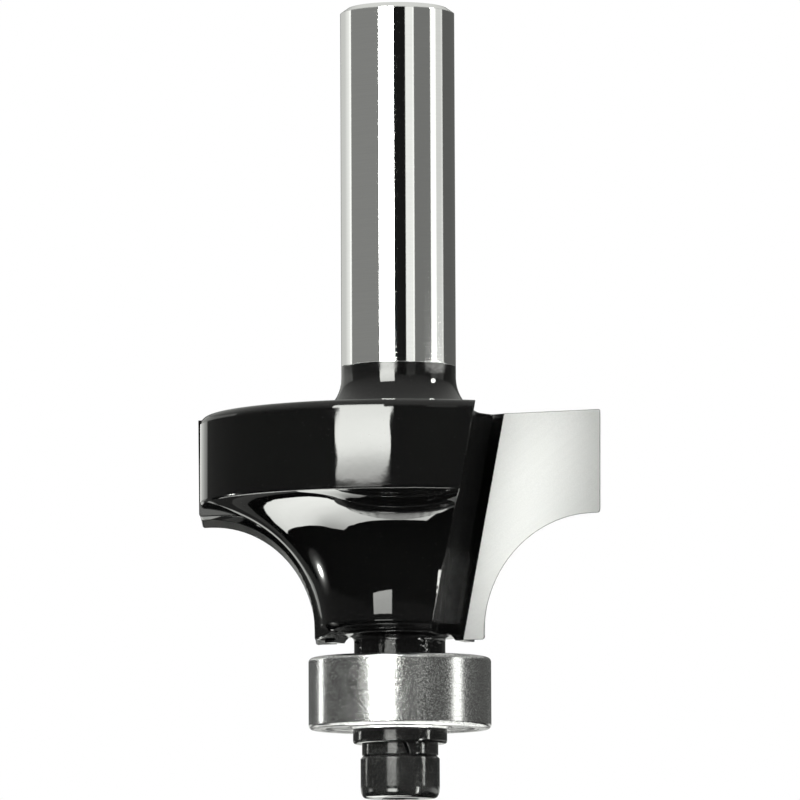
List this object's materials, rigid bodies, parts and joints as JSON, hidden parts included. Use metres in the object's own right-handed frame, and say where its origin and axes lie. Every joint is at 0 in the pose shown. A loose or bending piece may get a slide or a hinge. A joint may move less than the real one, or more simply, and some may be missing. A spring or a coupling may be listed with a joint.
{
  "type": "router bit",
  "caption": "Rounding-over router bit: straight shank, black head with brazed carbide tips ground to a concave quarter round, and a shielded guide bearing held by a socket screw.",
  "frame": {"origin": "centre of the flat free end of the shank", "axes": "+Z along the axis, from the bearing towards the shank's free end; tips lie along +X and -X"},
  "size_m": [0.03, 0.0276, 0.0553],
  "materials": {
    "painted_steel": "gloss black paint, ground bright on the shank",
    "carbide": "fine ground satin",
    "bearing_steel": "fine ground",
    "ball_steel": "polished",
    "cage_steel": "pressed",
    "shield_steel": "pressed, bright",
    "black_oxide": "blackened steel, oiled"
  },
  "bodies": {
    "cutter": {"cutter_body": "painted_steel", "carbide_tip_1": "carbide", "carbide_tip_2": "carbide", "bearing_inner_ring": "bearing_steel", "flat_washer": "black_oxide", "lock_washer": "black_oxide", "cap_screw": "black_oxide"},
    "outer_race": {"bearing_outer_ring": "bearing_steel", "shield_upper": "shield_steel", "shield_lower": "shield_steel", "snap_ring_upper": "shield_steel", "snap_ring_lower": "shield_steel"},
    "ball_cage": {"cage_upper": "cage_steel", "cage_lower": "cage_steel", "cage_rivets": "cage_steel"},
    "ball_1": {"ball_1": "ball_steel"},
    "ball_2": {"ball_2": "ball_steel"},
    "ball_3": {"ball_3": "ball_steel"},
    "ball_4": {"ball_4": "ball_steel"},
    "ball_5": {"ball_5": "ball_steel"},
    "ball_6": {"ball_6": "ball_steel"},
    "ball_7": {"ball_7": "ball_steel"}
  },
  "joints": [
    {"name": "bearing_spin", "type": "hinge", "parent": "cutter", "child": "outer_race", "pos_m": [0, 0, -0.04804], "axis": [0, 0, 1], "continuous": true},
    {"name": "cage_spin", "type": "hinge", "parent": "cutter", "child": "ball_cage", "pos_m": [0, 0, -0.04804], "axis": [0, 0, 1], "continuous": true},
    {"name": "ball_1_roll", "type": "hinge", "parent": "ball_cage", "child": "ball_1", "pos_m": [0.00436, 0, -0.04804], "axis": [0, 0, 1], "continuous": true},
    {"name": "ball_2_roll", "type": "hinge", "parent": "ball_cage", "child": "ball_2", "pos_m": [0.00272, 0.00341, -0.04804], "axis": [0, 0, 1], "continuous": true},
    {"name": "ball_3_roll", "type": "hinge", "parent": "ball_cage", "child": "ball_3", "pos_m": [-0.00097, 0.00426, -0.04804], "axis": [0, 0, 1], "continuous": true},
    {"name": "ball_4_roll", "type": "hinge", "parent": "ball_cage", "child": "ball_4", "pos_m": [-0.00393, 0.00189, -0.04804], "axis": [0, 0, 1], "continuous": true},
    {"name": "ball_5_roll", "type": "hinge", "parent": "ball_cage", "child": "ball_5", "pos_m": [-0.00393, -0.00189, -0.04804], "axis": [0, 0, 1], "continuous": true},
    {"name": "ball_6_roll", "type": "hinge", "parent": "ball_cage", "child": "ball_6", "pos_m": [-0.00097, -0.00426, -0.04804], "axis": [0, 0, 1], "continuous": true},
    {"name": "ball_7_roll", "type": "hinge", "parent": "ball_cage", "child": "ball_7", "pos_m": [0.00272, -0.00341, -0.04804], "axis": [0, 0, 1], "continuous": true}
  ],
  "couplings": [
    {"joint": "cage_spin", "follows": "bearing_spin", "ratio": 0.6364},
    {"joint": "ball_1_roll", "follows": "bearing_spin", "ratio": 1.6967},
    {"joint": "ball_2_roll", "follows": "bearing_spin", "ratio": 1.6967},
    {"joint": "ball_3_roll", "follows": "bearing_spin", "ratio": 1.6967},
    {"joint": "ball_4_roll", "follows": "bearing_spin", "ratio": 1.6967},
    {"joint": "ball_5_roll", "follows": "bearing_spin", "ratio": 1.6967},
    {"joint": "ball_6_roll", "follows": "bearing_spin", "ratio": 1.6967},
    {"joint": "ball_7_roll", "follows": "bearing_spin", "ratio": 1.6967}
  ]
}
